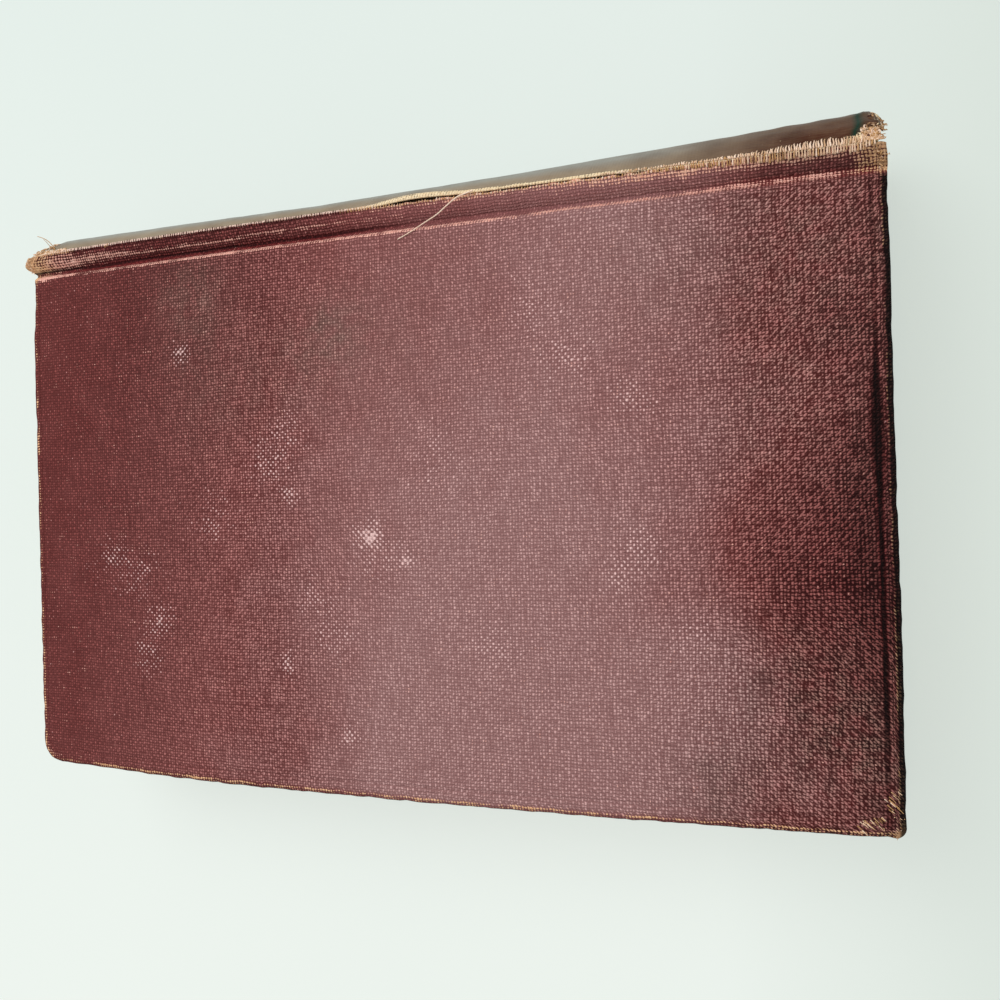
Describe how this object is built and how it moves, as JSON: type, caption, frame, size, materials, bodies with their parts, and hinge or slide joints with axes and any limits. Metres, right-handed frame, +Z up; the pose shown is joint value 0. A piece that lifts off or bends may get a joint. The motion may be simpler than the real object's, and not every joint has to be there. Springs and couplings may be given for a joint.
{
  "type": "hardback book",
  "caption": "Old cloth-covered hardback book with a rounded back, hinged covers, blind-ruled borders, and a worn spine torn along one ridge.",
  "frame": {"origin": "on the surface the book lies on, under the middle of its bounding box", "axes": "+X along the book's length toward its head, +Y toward the spine, +Z up from the lower cover to the upper cover"},
  "size_m": [0.19, 0.1304, 0.0309],
  "materials": {
    "cover_cloth": "plain-weave book cloth, faded and scuffed",
    "faded_cloth": "worn smooth, faded to brown-grey",
    "board": "bare millboard",
    "pages": "toned, uncoated",
    "endpaper": "toned, uncoated",
    "mull": "open-weave, sized",
    "lining_paper": "kraft, matt",
    "inlay_card": "matt"
  },
  "bodies": {
    "text_block": {"page_block": "pages", "spine_mull": "mull", "spine_lining": "lining_paper", "spine_inlay": "inlay_card", "spine_cloth": "faded_cloth", "upper_flyleaf": "endpaper", "lower_flyleaf": "endpaper"},
    "upper_cover": {"upper_board": "board", "upper_cover_cloth": "cover_cloth", "upper_mull_flange": "mull", "upper_pastedown": "endpaper"},
    "lower_cover": {"lower_board": "board", "lower_cover_cloth": "cover_cloth", "lower_mull_flange": "mull", "lower_pastedown": "endpaper"}
  },
  "joints": [
    {"name": "upper_cover_hinge", "type": "hinge", "parent": "text_block", "child": "upper_cover", "pos_m": [0, 0.05535, 0.0305], "axis": [-1, 0, 0], "range_deg": [0, 180]},
    {"name": "lower_cover_hinge", "type": "hinge", "parent": "text_block", "child": "lower_cover", "pos_m": [0, 0.05535, 0.0004], "axis": [1, 0, 0], "range_deg": [0, 180]}
  ]
}
